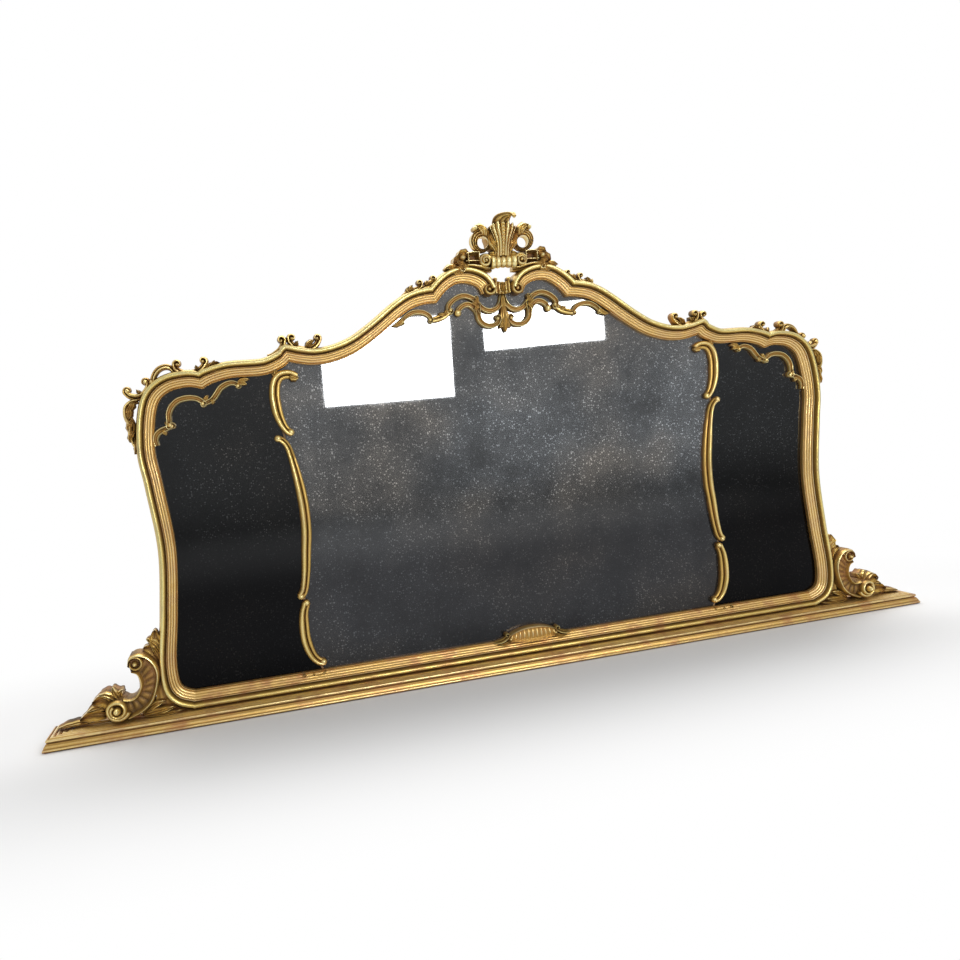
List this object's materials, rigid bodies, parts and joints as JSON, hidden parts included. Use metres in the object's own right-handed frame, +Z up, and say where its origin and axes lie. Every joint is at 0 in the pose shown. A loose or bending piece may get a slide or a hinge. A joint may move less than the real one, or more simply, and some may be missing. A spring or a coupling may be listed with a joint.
{
  "type": "overmantel mirror",
  "caption": "Gilt overmantel mirror in carved rococo style: side plates and a centre plate in a swept, scrolled frame on a moulded base, with a pierced crest.",
  "frame": {"origin": "middle of the base's underside along its length, 36 mm in front of the wall face and 40 mm behind the base's front nose", "axes": "+X along the base to the viewer's right, +Y towards the wall, +Z up"},
  "size_m": [1.7, 0.1044, 0.8375],
  "materials": {
    "bright_gilding": "burnished gold leaf on gesso, rubbed on the high points",
    "bole_gilding": "worn gold leaf over red-brown bole",
    "antique_gilding": "gold leaf darkened in the recesses",
    "mirror_glass": "aged silvered plate glass",
    "pine": "unfinished pine, darkened with age",
    "brass": "dull brass sheet",
    "steel": "plain steel screws"
  },
  "bodies": {
    "root": {"base_plinth": "bole_gilding", "base_screws": "steel", "bottom_rail": "bole_gilding", "left_stile": "bright_gilding", "right_stile": "bright_gilding", "left_shoulder_rail": "bright_gilding", "right_shoulder_rail": "bright_gilding", "left_arch_rail": "bright_gilding", "right_arch_rail": "bright_gilding", "left_crown_rail": "bright_gilding", "right_crown_rail": "bright_gilding", "crown_link": "bright_gilding", "crest": "antique_gilding", "crest_leaf": "antique_gilding", "pendant_fret": "bright_gilding", "left_arch_sprig": "bright_gilding", "right_arch_sprig": "bright_gilding", "left_cusp_scroll": "bright_gilding", "right_cusp_scroll": "bright_gilding", "left_corner_cresting": "bright_gilding", "right_corner_cresting": "bright_gilding", "left_corner_fret": "bright_gilding", "right_corner_fret": "bright_gilding", "left_divider_top": "bright_gilding", "right_divider_top": "bright_gilding", "left_divider_middle": "bright_gilding", "right_divider_middle": "bright_gilding", "left_divider_foot": "bright_gilding", "right_divider_foot": "bright_gilding", "left_foot_curls": "bright_gilding", "right_foot_curls": "bright_gilding", "left_side_bracket": "antique_gilding", "right_side_bracket": "antique_gilding", "left_bracket_volute": "antique_gilding", "right_bracket_volute": "antique_gilding", "left_bracket_leaves": "antique_gilding", "right_bracket_leaves": "antique_gilding", "left_stile_leaf": "antique_gilding", "right_stile_leaf": "antique_gilding", "left_foot_leaf": "antique_gilding", "right_foot_leaf": "antique_gilding", "bottom_cartouche": "antique_gilding", "left_mirror_plate": "mirror_glass", "centre_mirror_plate": "mirror_glass", "right_mirror_plate": "mirror_glass", "left_backboard": "pine", "centre_backboard": "pine", "right_backboard": "pine", "left_mullion": "pine", "right_mullion": "pine", "lower_batten": "pine", "upper_batten": "pine", "batten_screws": "steel", "left_hanging_plate": "brass", "right_hanging_plate": "brass", "hanger_screws": "steel"}
  },
  "joints": []
}
